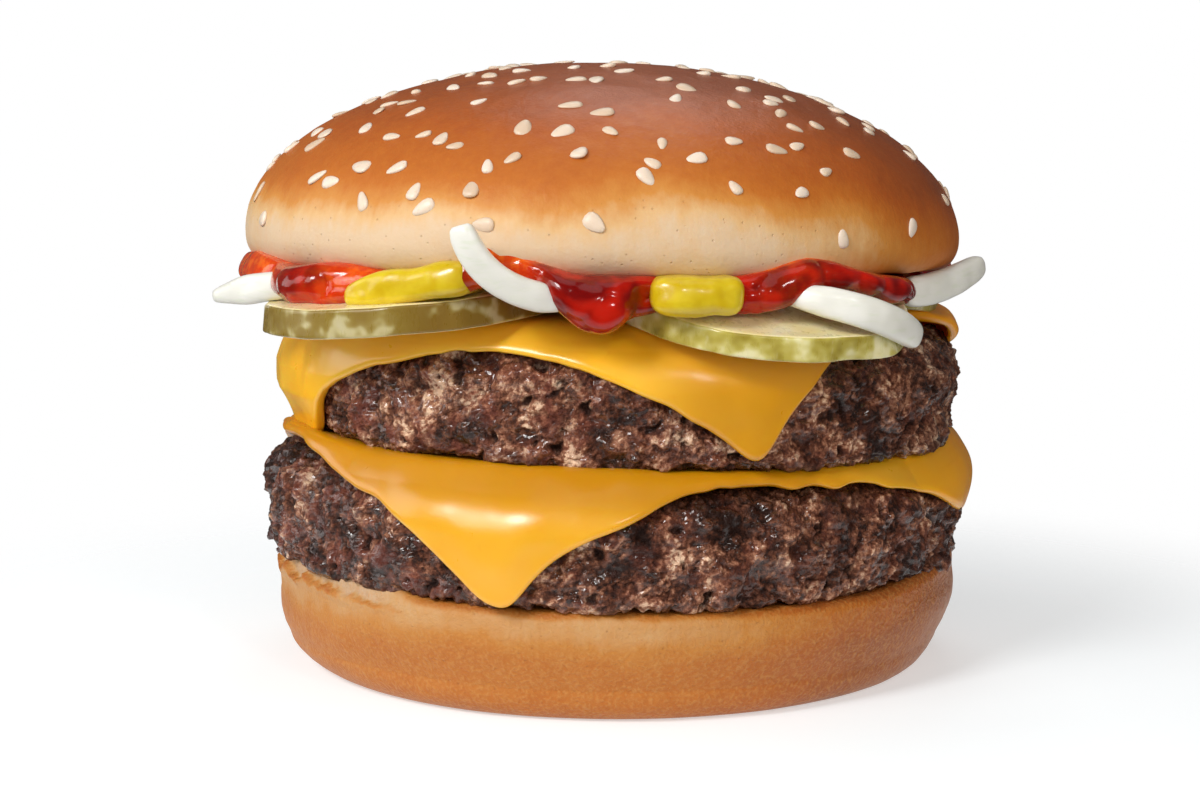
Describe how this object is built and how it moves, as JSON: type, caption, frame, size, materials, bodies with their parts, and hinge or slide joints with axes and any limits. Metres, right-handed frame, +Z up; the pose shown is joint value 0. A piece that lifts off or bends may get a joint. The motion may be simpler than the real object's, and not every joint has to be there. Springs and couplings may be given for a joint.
{
  "type": "double cheeseburger",
  "caption": "Double cheeseburger in a seeded bun: beef patties, draped cheese, pickle, onion, ketchup and mustard, resting flat on its heel.",
  "frame": {"origin": "centre of the heel's flat base", "axes": "+Z up through the stack, -Y towards the front, +X to the right seen from the front"},
  "size_m": [0.1067, 0.1058, 0.0847],
  "materials": {
    "bun": "satin baked crust, pale at the sides",
    "beef": "rough seared ground beef with a little grease",
    "cheese": "smooth semi-gloss melted cheese",
    "pickle": "wet, slightly translucent",
    "mustard": "glossy paste",
    "ketchup": "glossy thick sauce",
    "onion": "moist, translucent white"
  },
  "bodies": {
    "root": {"bun_heel": "bun", "patty_lower": "beef", "cheese_lower": "cheese", "patty_upper": "beef", "cheese_upper": "cheese", "pickle_front_left": "pickle", "pickle_front_right": "pickle", "pickle_back_right": "pickle", "pickle_back_left": "pickle", "mustard_front_left": "mustard", "mustard_front_right": "mustard", "mustard_back_right": "mustard", "mustard_back_left": "mustard", "ketchup": "ketchup", "onion_left": "onion", "onion_front": "onion", "onion_front_right": "onion", "onion_right": "onion", "onion_back": "onion", "bun_crown": "bun"}
  },
  "joints": []
}
